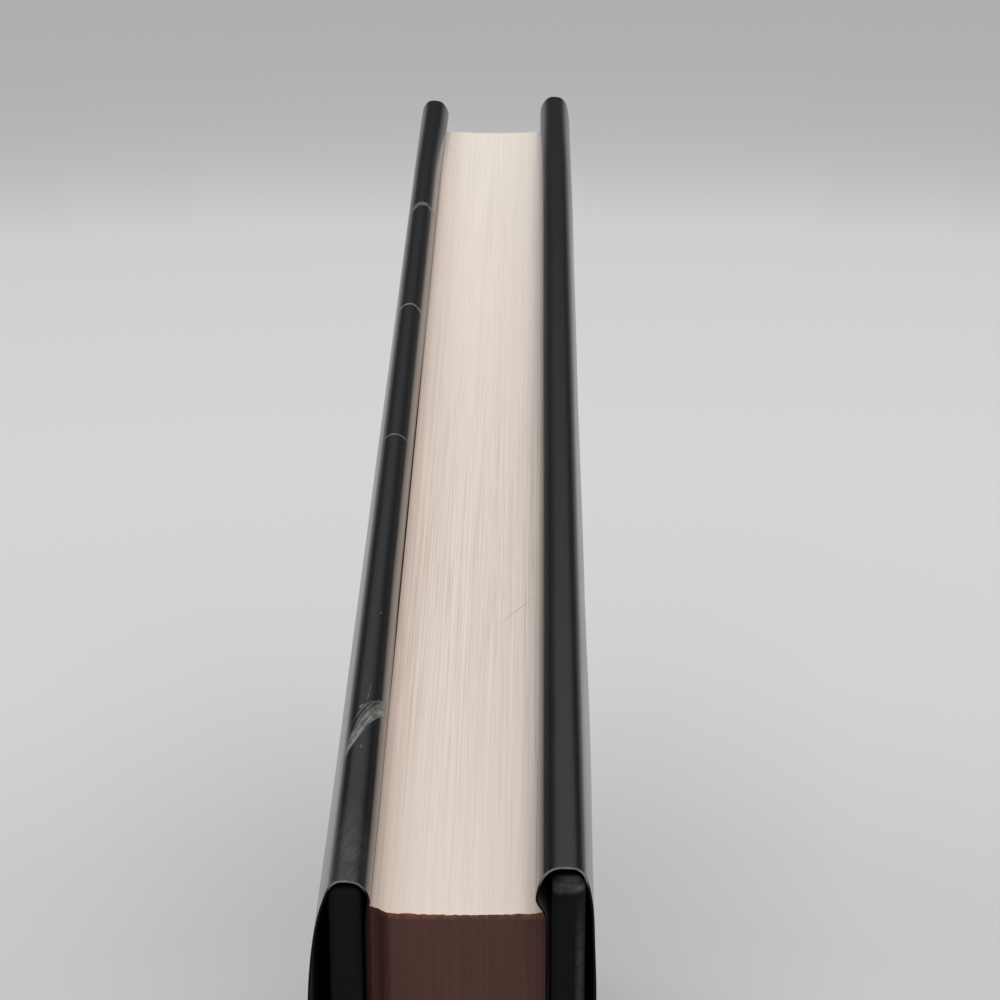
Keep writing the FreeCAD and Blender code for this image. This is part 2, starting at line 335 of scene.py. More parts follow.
jacketLook = {
    "black": "#0D0E10",
    "scuffTone": "#ACAEA7",
    "coreTone": "#7A7A7C",
    "printedEdge": "#0E0E10",
    "coreWear": (1.15 * mm, 0.35 * mm),  # the pale core shows from this depth, and fully from this one
    "sheen": (0.12, 0.24),               # roughness of the film, where least and most handled
    # rubbed lines over the back fold: place along the book at the middle of the fold in mm, slant, arch,
    # half width in mm, strength
    "rubs": [
        (66.9, 0.4, 0.74, 0.8, 0.5),
        (66.2, 0.7, 0.9, 0.35, 0.6),
        (25.7, 0.0, 0.6, 0.32, 0.95),
        (-18.0, 0.05, 0.24, 0.18, 0.7),
        (-90.0, 3.05, 0.05, 1.0, 0.85),
        (-88.4, 3.1, 0.3, 1.5, 0.5),
        (-86.7, 3.2, 0.6, 0.4, 0.45),
        (-85.4, 2.2, 1.0, 0.25, 0.35),
    ],
    "rubSoftness": 1.6,                  # how fast a line fades at its sides
    "rubEnds": (-2.0 * mm, -1.1 * mm),   # they fade out between these, towards the outside of the fold
    "foldInset": 2.2 * mm,               # the fold starts this far in from the fullest part of the panel
    "foldDepth": 2.2 * mm,
    "shear": 0.33,                       # the breaks in a line lean over by this
    "breaks": (0.28, 3.5, 3.5),          # sizes in mm: the breaks, the patches left bare by them, and
    "gaps": (0.9, 1.7, 1.7),             # the worn patches of the cut edge
    "edgePatches": (0.8, 3, 0.8),
    # dull areas of the film, its hairlines and fine peel, and the slack of the sheet: size in mm, detail,
    # roughness
    "handling": ((38, 52, 45), 3.0, 0.6),
    "hairlines": ((0.5, 14, 0.8), 2.0, 0.5),
    "peel": ((0.6, 0.9, 0.6), 2.0, 0.5),
    "slack": ((14, 30, 14), 1.0, 0.5),
    # small marks on the fold, in mm: across, along, half width, half length, lean, strength
    "marks": [
        (-9.47, -85.5, 0.2, 0.5, 0.3, 0.6),
        (-9.09, -93.5, 0.16, 0.4, 0.0, 0.35),
        (-8.6, -65.0, 0.12, 0.4, 0.2, 0.3),
        (-8.9, -82.6, 0.09, 2.1, 0.058, 0.3),
        (-9.5, -114.0, 2.4, 11.0, 0.0, 0.1),
    ],
}


def rubbedLine(tree, along, across, squared, rub):
    place, slant, arch, halfWidth, strength = rub
    line = addNode(tree, "Math", [across, slant, place * mm], operation="MULTIPLY_ADD")
    curved = addNode(tree, "Math", [squared, -arch / mm, line], operation="MULTIPLY_ADD")
    offset = addNode(tree, "Math", [along, curved], operation="SUBTRACT")
    away = addNode(tree, "Math", [offset], operation="ABSOLUTE")
    softness = jacketLook["rubSoftness"]
    near = addNode(tree, "Math", [away, -softness / (halfWidth * mm), softness],
                   operation="MULTIPLY_ADD", use_clamp=True)
    return addNode(tree, "Math", [near, strength], operation="MULTIPLY")


def wornSpot(tree, across, along, spot):  # an oval that fades towards its rim
    x, y, halfWidth, halfLength, lean, strength = spot
    lengthwise = addNode(tree, "Math", [along, y * mm], operation="SUBTRACT")
    leaning = addNode(tree, "Math", [lengthwise, lean, x * mm], operation="MULTIPLY_ADD")
    sideways = addNode(tree, "Math", [across, leaning], operation="SUBTRACT")
    u = addNode(tree, "Math", [sideways, 1 / (halfWidth * mm)], operation="MULTIPLY")
    v = addNode(tree, "Math", [lengthwise, 1 / (halfLength * mm)], operation="MULTIPLY")
    uSquared = addNode(tree, "Math", [u, u], operation="MULTIPLY")
    distance = addNode(tree, "Math", [v, v, uSquared], operation="MULTIPLY_ADD")
    near = addNode(tree, "Math", [1.0, distance], operation="SUBTRACT", use_clamp=True)
    return addNode(tree, "Math", [near, strength], operation="MULTIPLY")


def strongest(tree, masks):
    total = masks[0]
    for mask in masks[1:]:
        total = addNode(tree, "Math", [total, mask], operation="MAXIMUM")
    return total


def scuffMask(tree, place):  # worn lines and marks on the fold of the back cover
    look = jacketLook
    low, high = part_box("jacket_back")
    foldMiddle = (low.x + look["foldInset"] + high.x) / 2
    axes = addNode(tree, "SeparateXYZ", {"Vector": place}).outputs
    across = addNode(tree, "Math", [axes["X"], foldMiddle], operation="SUBTRACT")
    squared = addNode(tree, "Math", [across, across], operation="MULTIPLY")
    lines = strongest(tree, [rubbedLine(tree, axes["Y"], across, squared, rub) for rub in look["rubs"]])
    ends = addNode(tree, "MapRange", {"Value": across, "From Min": look["rubEnds"][0],
                                      "From Max": look["rubEnds"][1]})
    lines = addNode(tree, "Math", [lines, ends], operation="MULTIPLY")
    spots = strongest(tree, [wornSpot(tree, axes["X"], axes["Y"], mark) for mark in look["marks"]])
    total = strongest(tree, [lines, spots])
    slip = addNode(tree, "Math", [axes["Y"], -look["shear"], axes["X"]], operation="MULTIPLY_ADD")
    sheared = addNode(tree, "CombineXYZ", {"X": slip, "Y": axes["Y"], "Z": axes["Z"]})
    breakPlace = addNode(tree, "Mapping", {"Vector": sheared, "Scale": grain(*look["breaks"])})
    breaks = addNode(tree, "TexNoise", {"Vector": breakPlace, "Scale": 1.0, "Detail": 3.0, "Roughness": 0.65})
    broken = addNode(tree, "MapRange", {"Value": breaks, "From Min": 0.32, "From Max": 0.66, "To Min": 0.2})
    gapPlace = addNode(tree, "Mapping", {"Vector": place, "Scale": grain(*look["gaps"])})
    gaps = addNode(tree, "TexNoise", {"Vector": gapPlace, "Scale": 1.0, "Detail": 4.0, "Roughness": 0.7})
    patchy = addNode(tree, "MapRange", {"Value": gaps, "From Min": 0.38, "From Max": 0.56, "To Min": 0.4})
    uneven = addNode(tree, "Math", [broken, patchy], operation="MULTIPLY")
    worn = addNode(tree, "Math", [uneven, total], operation="MULTIPLY")
    onFold = addNode(tree, "Math", [axes["Z"], high.z - look["foldDepth"]], operation="GREATER_THAN")
    onBack = addNode(tree, "Math", [axes["X"], 0.0], operation="LESS_THAN")
    there = addNode(tree, "Math", [onFold, onBack], operation="MULTIPLY")
    return addNode(tree, "Math", [worn, there], operation="MULTIPLY")


def laminatedJacket():  # black printed paper under a clear gloss film, with hairlines from handling
    look = jacketLook
    material, tree, place = newMaterial("laminatedJacket")
    scuffs = scuffMask(tree, place)
    patterns = []
    for key in ("handling", "hairlines", "peel", "slack"):
        size, detail, rough = look[key]
        scaled = addNode(tree, "Mapping", {"Vector": place, "Scale": grain(*size)})
        patterns.append(addNode(tree, "TexNoise", {"Vector": scaled, "Scale": 1.0, "Detail": detail,
                                                   "Roughness": rough}))
    handling, hairlines, peel, slack = patterns
    colour = addNode(tree, "Mix", {0: scuffs, 6: linear(look["black"]), 7: linear(look["scuffTone"])},
                     data_type="RGBA")
    least, most = look["sheen"]
    film = addNode(tree, "MapRange", {"Value": handling, "To Min": least, "To Max": most})
    scratched = addNode(tree, "Math", [hairlines, 0.05, film], operation="MULTIPLY_ADD")
    roughness = addNode(tree, "Math", [scuffs, 0.5, scratched], operation="MULTIPLY_ADD", use_clamp=True)
    fine = addNode(tree, "Bump", {"Height": peel, "Distance": 0.008 * mm, "Strength": 0.4})
    bump = addNode(tree, "Bump", {"Height": slack, "Distance": 0.2 * mm, "Strength": 0.3, "Normal": fine})
    shader = addNode(tree, "BsdfPrincipled", {"Base Color": colour, "Roughness": roughness, "IOR": 1.5,
                                              "Normal": bump})
    addNode(tree, "OutputMaterial", {"Surface": shader})
    return material


def jacketCutEdge():  # the cut through the sheet: black ink, and pale paper where the fold is rubbed
    look = jacketLook
    material, tree, place = newMaterial("jacketCutEdge")
    axes = addNode(tree, "SeparateXYZ", {"Vector": place}).outputs
    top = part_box("jacket_back")[1].z
    start, full = look["coreWear"]
    wear = addNode(tree, "MapRange", {"Value": axes["Z"], "From Min": top - start, "From Max": top - full})
    patchPlace = addNode(tree, "Mapping", {"Vector": place, "Scale": grain(*look["edgePatches"])})
    patches = addNode(tree, "TexNoise", {"Vector": patchPlace, "Scale": 1.0, "Detail": 3.0})
    rubbed = addNode(tree, "MapRange", {"Value": patches, "From Min": 0.25, "From Max": 0.6,
                                        "To Min": 0.55})
    worn = addNode(tree, "Math", [wear, rubbed], operation="MULTIPLY")
    colour = addNode(tree, "Mix", {0: worn, 6: linear(look["printedEdge"]), 7: linear(look["coreTone"])},
                     data_type="RGBA")
    shader = addNode(tree, "BsdfPrincipled", {"Base Color": colour, "Roughness": 0.8,
                                              "Specular IOR Level": 0.1})
    addNode(tree, "OutputMaterial", {"Surface": shader})
    return material


clothLook = {
    "threadPitch": 0.42 * mm,  # fine book cloth has about 0.3, drawn coarser, so that it shows
    "thread": "#110F10",
    "gap": "#0B0A0B",
    "slub": "#171515",
    # the tone of the marks below: rubbed cloth, and painted highlight
    "rubbed": "#5E5C5A",
    # rubbed spots on the head end of the front board, partly painted highlight on its rounded corner, in mm:
    # across, up from its top, half width, half height, lean, strength
    "spots": [
        (10.05, -0.5, 1.6, 0.6, 0.0, 0.45),
        (10.9, -0.5, 0.6, 0.35, 0.0, 0.7),
        (9.2, -0.75, 0.9, 0.35, 0.0, 0.3),
        (10.3, -0.04, 1.3, 0.14, 0.0, 0.3),
    ],
    "edgeHighlight": (0.45 * mm, 0.5 * mm, 0.35),  # painted highlight along its outer edge there: place in from the side, width, strength
    "edgeHighlightDepth": (0.8 * mm, 7 * mm),      # none at the first depth below the top, full at the second
    "endReach": 1.6 * mm,
    "patches": (0.5, 0.6, 0.6),              # sizes of the patches of rubbing and highlight, and of the slubs, in mm
    "slubs": (1.2, 5, 2),
}


def clothRubAndHighlight(tree, place):  # at the head of the front board: its corner rubbed, partly painted highlight, and a painted highlight line down its outer edge
    look = clothLook
    axes = addNode(tree, "SeparateXYZ", {"Vector": place}).outputs
    low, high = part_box("front_cover_cloth")
    up = addNode(tree, "Math", [axes["Z"], high.z], operation="SUBTRACT")
    spots = strongest(tree, [wornSpot(tree, axes["X"], up, spot) for spot in look["spots"]])
    inset, width, strength = look["edgeHighlight"]
    offset = addNode(tree, "Math", [axes["X"], high.x - inset], operation="SUBTRACT")
    away = addNode(tree, "Math", [offset], operation="ABSOLUTE")
    stripe = addNode(tree, "Math", [away, -1 / width, 1.0], operation="MULTIPLY_ADD", use_clamp=True)
    none, full = look["edgeHighlightDepth"]
    lower = addNode(tree, "MapRange", {"Value": up, "From Min": -none, "From Max": -full, "To Max": strength})
    edge = addNode(tree, "Math", [stripe, lower], operation="MULTIPLY")
    rubbed = strongest(tree, [spots, edge])
    onEnd = addNode(tree, "Math", [axes["Y"], low.y + look["endReach"]], operation="LESS_THAN")
    patchPlace = addNode(tree, "Mapping", {"Vector": place, "Scale": grain(*look["patches"])})
    patches = addNode(tree, "TexNoise", {"Vector": patchPlace, "Scale": 1.0, "Detail": 3.0})
    patchy = addNode(tree, "MapRange", {"Value": patches, "From Min": 0.3, "From Max": 0.6, "To Min": 0.45})
    there = addNode(tree, "Math", [onEnd, patchy], operation="MULTIPLY")
    return addNode(tree, "Math", [rubbed, there], operation="MULTIPLY", use_clamp=True)


def bookCloth():  # fine starched cotton, plain woven: dull, with a thread line each way
    look = clothLook
    material, tree, place = newMaterial("bookCloth")
    scale = wavePeriod / look["threadPitch"]
    waves = {}
    for direction in ("X", "Y", "Z"):
        wave = addNode(tree, "TexWave", {"Vector": place, "Scale": scale, "Distortion": 0.6, "Detail": 1.0,
                                         "Detail Scale": 1.5}, bands_direction=direction)
        waves[direction] = wave.outputs["Fac"]
    crossing = addNode(tree, "Math", [waves["X"], 0.25, 0.35], operation="MULTIPLY_ADD")
    both = addNode(tree, "Math", [waves["Y"], waves["Z"]], operation="ADD")
    weave = addNode(tree, "Math", [both, crossing], operation="MULTIPLY")
    slubPlace = addNode(tree, "Mapping", {"Vector": place, "Scale": grain(*look["slubs"])})
    slubs = addNode(tree, "TexNoise", {"Vector": slubPlace, "Scale": 1.0, "Detail": 3.0})
    uneven = addNode(tree, "MapRange", {"Value": slubs, "From Min": 0.4, "From Max": 0.7, "To Max": 0.35})
    tone = addNode(tree, "Mix", {0: weave, 6: linear(look["gap"]), 7: linear(look["thread"])},
                   data_type="RGBA")
    varied = addNode(tree, "Mix", {0: uneven, 6: tone, 7: linear(look["slub"])}, data_type="RGBA")
    colour = addNode(tree, "Mix", {0: clothRubAndHighlight(tree, place), 6: varied, 7: linear(look["rubbed"])},
                     data_type="RGBA")
    bump = addNode(tree, "Bump", {"Height": weave, "Distance": 0.03 * mm, "Strength": 0.6})
    shader = addNode(tree, "BsdfPrincipled", {"Base Color": colour, "Roughness": 0.8,
                                              "Specular IOR Level": 0.1, "Normal": bump})
    addNode(tree, "OutputMaterial", {"Surface": shader})
    return material


def pressedFibre(name, dark, pale, size, roughness, height):  # pulp or paper, flecked or ribbed by its grain
    material, tree, place = newMaterial(name)
    grainPlace = addNode(tree, "Mapping", {"Vector": place, "Scale": grain(*size)})
    pulp = addNode(tree, "TexNoise", {"Vector": grainPlace, "Scale": 1.0, "Detail": 5.0, "Roughness": 0.75})
    colour = addNode(tree, "ValToRGB", {"Fac": pulp}, stops=[(0.32, linear(dark)), (0.68, linear(pale))])
    bump = addNode(tree, "Bump", {"Height": pulp, "Distance": height, "Strength": 0.6})
    shader = addNode(tree, "BsdfPrincipled", {"Base Color": colour, "Roughness": roughness,
                                              "Specular IOR Level": 0.2, "Normal": bump})
    addNode(tree, "OutputMaterial", {"Surface": shader})
    return material


def wovenStrip(name, dark, pale, pitch):  # open cotton weave: mull, and the sleeve of the bands
    material, tree, place = newMaterial(name)
    threads = [addNode(tree, "TexWave", {"Vector": place, "Scale": wavePeriod / pitch, "Distortion": 0.8},
                       bands_direction=direction).outputs["Fac"] for direction in ("X", "Y")]
    weave = strongest(tree, threads)
    colour = addNode(tree, "Mix", {0: weave, 6: linear(dark), 7: linear(pale)}, data_type="RGBA")
    bump = addNode(tree, "Bump", {"Height": weave, "Distance": 0.08 * mm, "Strength": 0.8})
    shader = addNode(tree, "BsdfPrincipled", {"Base Color": colour, "Roughness": 0.9,
                                              "Specular IOR Level": 0.2, "Normal": bump})
    addNode(tree, "OutputMaterial", {"Surface": shader})
    return material


materials = {
    "pages": trimmedPageEdges(),
    "pageHeads": stainedPageHeads(),
    # painted shade: free leaves are drawn darker along their top edge, pastedowns at their top and head
    "endpaper": endpaperStock("endpaperStock", endpaperLook["shadeByCover"], pageLook["stain"]),
    "pastedown": endpaperStock("pastedEndpaper", endpaperLook["pastedownShade"], endpaperLook["pastedownShade"]),
    "jacket": laminatedJacket(),
    "jacketEdge": jacketCutEdge(),
    "jacketReverse": pressedFibre("jacketReverse", "#38383A", "#454547", (0.5, 0.8, 0.5), 0.9, 0.01 * mm),
    "cloth": bookCloth(),
    "board": pressedFibre("greyBoard", "#7D786F", "#9A958B", (0.7, 1.1, 0.7), 0.95, 0.05 * mm),
    "lining": pressedFibre("kraftLining", "#8A6B49", "#A5835C", (0.5, 20, 20), 0.85, 0.03 * mm),
    "mull": wovenStrip("mullCotton", "#8C8577", "#CFC8B8", 1.1 * mm),
    "band": wovenStrip("bandCotton", "#141313", "#2B2929", 0.5 * mm),
}
print("materials made:", len(materials))


def dress(piece, *names):
    piece.data.materials.clear()
    for name in names:
        piece.data.materials.append(materials[name])


# sheets that are drawn out edge by edge: jacket, cloth joints and endpaper joints

def drawSheet(name, path, yMiddle, length, cuts, thickness, outward, finishes, rule=None):
    # the path is the outer face of the sheet, seen from the head, as (x, z) places
    clearSelection()
    start, second = path[0], path[1]
    bpy.ops.mesh.primitive_plane_add(size=length, location=(start[0], yMiddle, start[1]))
    piece = nameNew(name)
    bpy.ops.object.transform_apply(location=True)
    farSide = {v.index for v in piece.data.vertices if v.co.x > start[0]}
    selectParts(piece, "VERT", lambda v: True)
    bpy.ops.transform.resize(value=(0, 1, 1), center_override=(start[0], yMiddle, start[1]))
    selectParts(piece, "VERT", lambda v: v.index in farSide)
    bpy.ops.transform.translate(value=(second[0] - start[0], 0, second[1] - start[1]))
    bpy.ops.object.mode_set(mode="OBJECT")
    selectParts(piece, "EDGE", runsAlong(piece, 1))
    bpy.ops.mesh.subdivide(number_cuts=cuts)
    bpy.ops.object.mode_set(mode="OBJECT")
    end = Vector((second[0], 0, second[1]))
    selectParts(piece, "EDGE", lambda edge: all((Vector((p.x, 0, p.z)) - end).length < tiny
                                                for p in edgeEnds(piece, edge)))
    for here, there in zip(path[1:], path[2:]):
        step = (there[0] - here[0], 0, there[1] - here[1])
        bpy.ops.mesh.extrude_region_move(TRANSFORM_OT_translate={"value": step})
    bpy.ops.mesh.select_all(action="SELECT")
    bpy.ops.mesh.normals_make_consistent(inside=False)
    bpy.ops.object.mode_set(mode="OBJECT")
    probe = min(piece.data.polygons, key=lambda f: (f.center - Vector(outward[0])).length)
    if probe.normal.dot(Vector(outward[1])) < 0:
        bpy.ops.object.mode_set(mode="EDIT")
        bpy.ops.mesh.flip_normals()
        bpy.ops.object.mode_set(mode="OBJECT")
    if rule:
        reshape(piece, rule)
    dress(piece, *finishes)  # outer face, cut edge, inner face
    applyModifier(piece, "SOLIDIFY", thickness=thickness, offset=-1, use_even_offset=True,
                  material_offset_rim=1, material_offset=2)
    finishShape(piece)
    return piece


jacketShape = {
    "thickness": 0.2 * mm,
    "outerRadius": 1.3 * mm,
    "innerRadius": 1.9 * mm,
    "foldFlare": 25.0,
    "flareShare": 0.7,
    "bulgeDepth": 14.0 * mm,
    "bulgeLength": 85.0 * mm,
    "foldClearance": 0.5 * mm,
    "flapClearance": 0.1 * mm,
    "flapWidth": 90.0 * mm,
    "lean": {"front": 0.7 * mm, "back": 0.0},
    "steps": {"joint": 14, "board": 12, "swell": 16, "shoulder": 12, "outerArc": 8, "top": 6,
              "innerArc": 12, "innerSide": 8, "flap": 14},
    "headBulge": {"front": 0.75, "back": 0.85},  # share of the bulge at the head, and at the foot
    "footBulge": {"front": 0.5, "back": 0.36},
    "headReach": 0.3,   # shares of the length where the shape of the head ends and that of the foot starts
    "footReach": 0.86,
    "headLean": {"front": 0.05 * mm, "back": 0.35 * mm},  # the fold leans over the pages near its ends
    "footLean": {"front": 0.0, "back": 0.6 * mm},
    "innerSide": (1.2 * mm, 2.6 * mm),  # the side that leans starts between these, from the outer face
    "headBelly": {"front": 0.5 * mm, "back": 0.0},  # and the flap bows there, just above the pages
    "bellyStart": 1.8 * mm,
    "bellyHeight": 1.3 * mm,
    "bellyDepth": 3.6 * mm,
    "press": {"front": 0.0, "back": 0.09 * mm},  # the flap lies close to the pages, but for a stretch
    "pressEnds": (0.15, 0.3),                    # that starts between these shares of the length
    "pressStarts": (0.45, 0.65),                 # and ends between these
    "crown": 0.22 * mm,
    "footCrown": 0.4 * mm,
    "footDrop": {"front": 0.35 * mm, "back": 0.1 * mm},
    "headSetback": {"front": 1.25 * mm, "back": 0.35 * mm},
    "slack": 0.12 * mm,
    "slackMargin": 30 * mm,          # it grows up the panel, and is gone between these depths
    "slackEnds": (9 * mm, 3 * mm),
    "ripples": (21 * mm, 8.7 * mm),  # a long wave, and a short one that is less deep
    "shortDepth": 0.6,
    "ripplePhase": 1.3,
    "rippleDepth": 0.6,
    "jointDip": 0.3 * mm,            # the sheet sinks a little over the joint of the case
    "jointDipWidth": 2.0 * mm,
    "jointRipple": 0.15,
    "panelDepth": 0.5 * mm,          # what is this near the outer face is panel, not fold or flap
    "lengthCuts": 117,
}


def fromPages(*corners):  # least and greatest distance of a box from the middle of the pages
    distances = [abs(corner.x - pagesX) for corner in corners]
    return min(distances), max(distances)


def jacketPath(side, sign):
    shape = jacketShape
    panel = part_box("jacket_" + side)
    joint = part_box("jacket_" + side + "_joint")
    outer = fromPages(*joint)[1]
    fullest = fromPages(*panel)[1]
    flap = fromPages(*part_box(side + "_free_endpaper"))[1] + shape["flapClearance"]
    top = panel[1].z
    outerRadius, innerRadius = shape["outerRadius"], shape["innerRadius"]
    lean = shape["lean"][side]
    footZ = top - shape["bulgeLength"]
    fullestZ = top - shape["bulgeDepth"]
    flapStart = blockBox[1].z + shape["foldClearance"]
    flare = math.radians(shape["foldFlare"])
    overBoard = (outer - outerRadius, top - outerRadius)
    overFlap = (flap - lean + innerRadius, top - innerRadius)
    leave = (overBoard[0] + outerRadius * math.cos(flare), overBoard[1] + outerRadius * math.sin(flare))
    sideways = shape["flareShare"] * (fullest - leave[0])
    reach = (overBoard[1] - fullestZ) / 3
    longReach = (fullestZ - footZ) / 3
    leanReach = (overFlap[1] - flapStart) / 2
    steps = shape["steps"]
    path = [(outer, joint[0].z)]
    path += linePath(path[-1], (outer, joint[1].z), steps["joint"])
    path += linePath(path[-1], (outer, footZ), steps["board"])
    path += bezierPath(path[-1], (outer, footZ + longReach), (fullest, fullestZ - longReach),
                       (fullest, fullestZ), steps["swell"])
    path += bezierPath(path[-1], (fullest, fullestZ + reach),
                       (leave[0] + sideways, leave[1] - sideways / math.tan(flare)), leave,
                       steps["shoulder"])
    path += arcPath(overBoard, outerRadius, shape["foldFlare"], 90, steps["outerArc"])
    path += linePath(path[-1], (overFlap[0], top), steps["top"])
    path += arcPath(overFlap, innerRadius, 90, 180, steps["innerArc"])
    path += bezierPath(path[-1], (flap - lean, overFlap[1] - leanReach), (flap, flapStart + leanReach),
                       (flap, flapStart), steps["innerSide"])
    path += linePath(path[-1], (flap, top - shape["flapWidth"]), steps["flap"])
    return [(pagesX + sign * x, z) for x, z in path]


def dustJacket(side, sign):
    shape = jacketShape
    path = jacketPath(side, sign)
    low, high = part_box("jacket_" + side)
    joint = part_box("jacket_" + side + "_joint")
    outerX = pagesX + sign * fromPages(*joint)[1]
    jointMiddle = (joint[0].z + joint[1].z) / 2
    length = high.y - low.y
    footZ = high.z - shape["bulgeLength"]
    flapStart = blockBox[1].z + shape["foldClearance"]
    shoulder = high.z - shape["outerRadius"]
    foldWidth = abs(path[-1][0] - outerX) + shape["lean"][side]
    longWave, shortWave = shape["ripples"]
    slackGoes, slackGone = shape["slackEnds"]

    def loosen(place):  # the panel stands out less towards the foot, and the sheet is never quite flat
        toFoot = (place.y - low.y) / length
        if sign * (place.x - outerX) > 0:
            headShare, footShare = shape["headBulge"][side], shape["footBulge"][side]
            place.x = outerX + (place.x - outerX) * (headShare + (footShare - headShare) * toFoot)
        nearHead = 1 - ease(toFoot, 0, shape["headReach"])
        nearFoot = ease(toFoot, shape["footReach"], 1)
        fromOutside = sign * (outerX - place.x)
        onTop = ease(place.z, flapStart, shoulder)
        onInnerSide = ease(fromOutside, *shape["innerSide"]) * onTop
        belly = math.exp(-((place.z - high.z + shape["bellyDepth"]) / shape["bellyHeight"]) ** 2)
        belly *= 1 if fromOutside > shape["bellyStart"] else 0
        lean = shape["headLean"][side] * nearHead + shape["footLean"][side] * nearFoot
        across = min(1.0, max(-1.0, (fromOutside - foldWidth / 2) / (foldWidth / 2)))
        crown = shape["crown"] + shape["footCrown"] * nearFoot
        place.z -= onTop * (crown * across * across + shape["footDrop"][side] * nearFoot)
        onFlap = 1 - onTop if fromOutside > foldWidth / 2 else 0
        close = max(1 - ease(toFoot, *shape["pressEnds"]), ease(toFoot, *shape["pressStarts"]))
        press = shape["press"][side] * close * onFlap
        place.x -= sign * (lean * onInnerSide + shape["headBelly"][side] * nearHead * belly + press)
        ripple = math.sin(place.y / longWave + shape["ripplePhase"] * sign)
        ripple += shape["shortDepth"] * math.sin(place.y / shortWave + sign)
        onPanel = ease(place.z, footZ - shape["slackMargin"], high.z - shape["slackMargin"])
        onPanel *= 1 - ease(place.z, high.z - slackGoes, high.z - slackGone)
        if sign * (place.x - outerX) > -shape["panelDepth"]:
            place.x -= sign * shape["slack"] * (1 + shape["rippleDepth"] * ripple) * onPanel
            dip = math.exp(-((place.z - jointMiddle) / shape["jointDipWidth"]) ** 2)
            place.x -= sign * shape["jointDip"] * dip * (1 + shape["jointRipple"] * ripple)
        place.y += shape["headSetback"][side] * ease(place.z, joint[1].z, high.z) * (1 - toFoot)
        return place

    outward = ((outerX, 0, joint[1].z + 10 * mm), (sign, 0, 0))
    piece = drawSheet("dustJacket_" + side, path, (low.y + high.y) / 2, length, shape["lengthCuts"],
                      shape["thickness"], outward, ("jacket", "jacketEdge", "jacketReverse"), loosen)
    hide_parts("jacket_" + side, "jacket_" + side + "_joint")
    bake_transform(piece)


clothJointShape = {
    "thickness": 0.35 * mm,
    "tuckHeight": 4.9 * mm,  # where the cloth has come in from the spine's edge to the groove
    "bends": (10, 8),        # below that height, and above it
    "lengthCuts": 60,
}


def clothJoint(side, sign):
    shape = clothJointShape
    low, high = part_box(side + "_cloth_joint")
    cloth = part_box(side + "_cover_cloth")
    near, far = fromPages(low, high)
    near += shape["thickness"]
    tuckZ = shape["tuckHeight"]
    reach = (tuckZ - low.z) / 2
    below, above = shape["bends"]
    path = [(far, low.z)]
    path += bezierPath(path[-1], (far - reach / 2, low.z + reach), (near, tuckZ - reach), (near, tuckZ),
                       below)
    path += linePath(path[-1], (near, cloth[0].z), above)
    path = [(pagesX + sign * x, z) for x, z in path]
    outward = ((path[-1][0], 0, path[-1][1]), (sign, 0, 0))
    piece = drawSheet("clothJoint_" + side, path, 0.0, high.y - low.y, shape["lengthCuts"],
                      shape["thickness"], outward, ("cloth", "cloth", "cloth"))
    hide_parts(side + "_cloth_joint")
    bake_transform(piece)


endpaperJointShape = {
    "thickness": 0.2 * mm,
    "bends": 14,
    "lengthCuts": 60,
}


def endpaperJoint(side, sign):
    shape = endpaperJointShape
    low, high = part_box(side + "_endpaper_joint")
    near, far = fromPages(low, high)
    near += shape["thickness"]
    path = [(near, low.z)] + linePath((near, low.z), (far, high.z), shape["bends"])
    path = [(pagesX + sign * x, z) for x, z in path]
    outward = ((path[-1][0], 0, path[-1][1]), (sign, 0, 0))
    piece = drawSheet("endpaperJoint_" + side, path, 0.0, high.y - low.y, shape["lengthCuts"],
                      shape["thickness"], outward, ("endpaper", "endpaper", "endpaper"))
    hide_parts(side + "_endpaper_joint")
    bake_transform(piece)


# case cloth round a board: a slab with soft corners and a window where the pastedown sits

coverShape = {
    "edgeRadius": 0.8 * mm,
    "edgeSteps": 6,
    "turnIn": 15 * mm,
    "clothThickness": 0.35 * mm,
}


def coverCloth(side, sign):
    shape = coverShape
    low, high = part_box(side + "_cover_cloth")
    clearSelection()
    bpy.ops.mesh.primitive_cube_add(size=1, location=(low + high) / 2, scale=high - low)
    piece = nameNew("coverCloth_" + side)
    bpy.ops.object.transform_apply(location=True, scale=True)
    selectParts(piece, "EDGE", lambda edge: any(p.z > low.z + tiny for p in edgeEnds(piece, edge)))
    bpy.ops.mesh.bevel(offset=shape["edgeRadius"], segments=shape["edgeSteps"], affect="EDGES")
    bpy.ops.object.mode_set(mode="OBJECT")
    inner = low.x if sign > 0 else high.x
    depth = shape["clothThickness"]
    windowTop = high.z - shape["turnIn"]
    windowHalf = high.y - shape["turnIn"]
    clearSelection()
    bpy.ops.mesh.primitive_cube_add(
        size=1, location=(inner, 0, (windowTop + low.z - depth) / 2),
        scale=(2 * depth, 2 * windowHalf, windowTop - low.z + depth))
    cutter = nameNew("windowCutter")
    bpy.ops.object.transform_apply(location=True, scale=True)
    clearSelection()
    piece.select_set(True)
    applyModifier(piece, "BOOLEAN", operation="DIFFERENCE", object=cutter, solver="EXACT")
    bpy.data.objects.remove(cutter, do_unlink=True)
    finishShape(piece)
    dress(piece, "cloth")
    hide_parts(side + "_cover_cloth")
    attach(piece, side + "_cover")


# pages: one block whose leaves are never trimmed quite level

